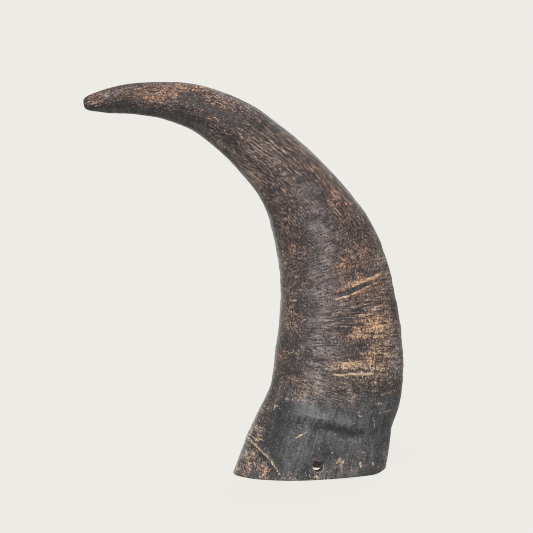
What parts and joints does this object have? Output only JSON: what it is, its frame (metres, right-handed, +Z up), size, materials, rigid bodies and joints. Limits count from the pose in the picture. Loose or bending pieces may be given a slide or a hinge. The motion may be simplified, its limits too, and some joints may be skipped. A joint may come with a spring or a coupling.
{
  "type": "shofar",
  "caption": "Natural horn blown as a wind instrument, standing on its flat-cut hollow bell, curving up and over to a slim blowing tip, with a small cord hole near the rim.",
  "frame": {"origin": "middle of the overall box, on the flat cut of the bell", "axes": "+Z up from the bell's cut; the horn curves over towards -X; +Y towards the back, so the cord hole is on the -Y side"},
  "size_m": [0.2084, 0.0569, 0.2548],
  "materials": {
    "horn_sheath": "natural dark horn (keratin), unpolished, with tan worn patches, fine lengthwise grain and cross ripples"
  },
  "bodies": {
    "root": {"horn": "horn_sheath"}
  },
  "joints": []
}
